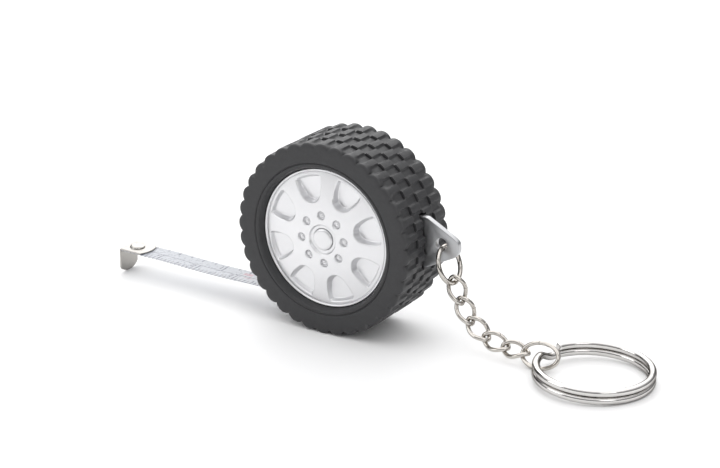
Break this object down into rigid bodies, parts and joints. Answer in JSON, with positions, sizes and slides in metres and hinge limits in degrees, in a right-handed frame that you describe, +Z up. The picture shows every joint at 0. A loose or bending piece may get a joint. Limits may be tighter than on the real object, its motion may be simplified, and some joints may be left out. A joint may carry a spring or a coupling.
{
  "type": "tape measure",
  "caption": "Pocket steel tape measure in a wheel-shaped case with silver trims, a spring-return drum and brake, an end hook, and a curb chain with a split key ring.",
  "frame": {"origin": "on the surface that the wheel stands on, under the middle of the whole object's box", "axes": "+X from the tape's hook to the key ring, Y along the wheel's axis with the release button on -Y, +Z up"},
  "size_m": [0.1284, 0.0248, 0.0415],
  "materials": {
    "tyre_black": "matt black moulded",
    "trim_silver": "satin silver lacquer on plastic",
    "tab_metal": "satin",
    "steel": "plain",
    "spring_steel": "blued",
    "tape_steel": "gloss lacquer with printed scale",
    "hook_nickel": "nickel plated",
    "drum_plastic": "moulded",
    "brake_plastic": "moulded",
    "chain_nickel": "nickel plated",
    "ring_nickel": "nickel plated"
  },
  "bodies": {
    "case": {"front_shell": "tyre_black", "rear_shell": "tyre_black", "front_trim": "trim_silver", "rear_trim": "trim_silver", "key_tab": "tab_metal", "case_screws": "steel", "spring_arbor": "steel", "brake_spring": "steel"},
    "drum": {"drum": "drum_plastic", "drum_cover": "drum_plastic", "mainspring": "spring_steel", "tape_coil": "tape_steel"},
    "tape": {"tape_blade": "tape_steel", "end_hook": "hook_nickel", "hook_rivet": "hook_nickel"},
    "button": {"release_button": "trim_silver", "brake_plate": "brake_plastic"},
    "ring_a": {"tab_ring": "chain_nickel"},
    "link_1": {"chain_link_1": "chain_nickel"},
    "link_2": {"chain_link_2": "chain_nickel"},
    "link_3": {"chain_link_3": "chain_nickel"},
    "link_4": {"chain_link_4": "chain_nickel"},
    "link_5": {"chain_link_5": "chain_nickel"},
    "ring_b": {"end_ring": "chain_nickel"},
    "key_ring": {"split_ring": "ring_nickel"}
  },
  "joints": [
    {"name": "drum_spin", "type": "hinge", "parent": "case", "child": "drum", "pos_m": [-0.00759, 0, 0.02074], "axis": [0, 1, 0], "range_deg": [-155.1, 3492.5]},
    {"name": "tape_slide", "type": "slide", "parent": "case", "child": "tape", "axis": [-0.9998, 0, 0.0192], "range_m": [-0.0427, 0.9572], "deforming": ["tape_blade"]},
    {"name": "button_press", "type": "slide", "parent": "case", "child": "button", "axis": [0, 1, 0], "range_m": [0, 0.0007], "stiffness_N_per_m": 900, "springref_m": -0.001, "deforming": ["brake_spring"]},
    {"name": "tab_ring_swing", "type": "hinge", "parent": "case", "child": "ring_a", "pos_m": [0.01651, 0, 0.02224], "axis": [0, 1, 0], "range_deg": [-75, 18]},
    {"name": "link_1_bend", "type": "hinge", "parent": "ring_a", "child": "link_1", "pos_m": [0.01929, 0, 0.015], "axis": [0, 1, 0], "range_deg": [-22, 16]},
    {"name": "link_2_bend", "type": "hinge", "parent": "link_1", "child": "link_2", "pos_m": [0.02102, 0, 0.01071], "axis": [0, 1, 0], "range_deg": [-20, 18]},
    {"name": "link_3_bend", "type": "hinge", "parent": "link_2", "child": "link_3", "pos_m": [0.02333, 0, 0.00671], "axis": [0, 1, 0], "range_deg": [-8, 24]},
    {"name": "link_4_bend", "type": "hinge", "parent": "link_3", "child": "link_4", "pos_m": [0.02702, 0, 0.00393], "axis": [0, 1, 0], "range_deg": [-8, 24]},
    {"name": "link_5_bend", "type": "hinge", "parent": "link_4", "child": "link_5", "pos_m": [0.0315, 0, 0.00281], "axis": [0, 1, 0], "range_deg": [-10, 18]},
    {"name": "end_ring_swing", "type": "hinge", "parent": "link_5", "child": "ring_b", "pos_m": [0.03611, 0, 0.00254], "axis": [0, 1, 0], "range_deg": [-45, 28]},
    {"name": "key_ring_swing", "type": "hinge", "parent": "ring_b", "child": "key_ring", "pos_m": [0.03991, 0, 0.00254], "axis": [0, 1, 0], "range_deg": [-85, 36]}
  ],
  "couplings": [
    {"joint": "tape_slide", "follows": "drum_spin", "m_per_rad": 0.0157}
  ]
}
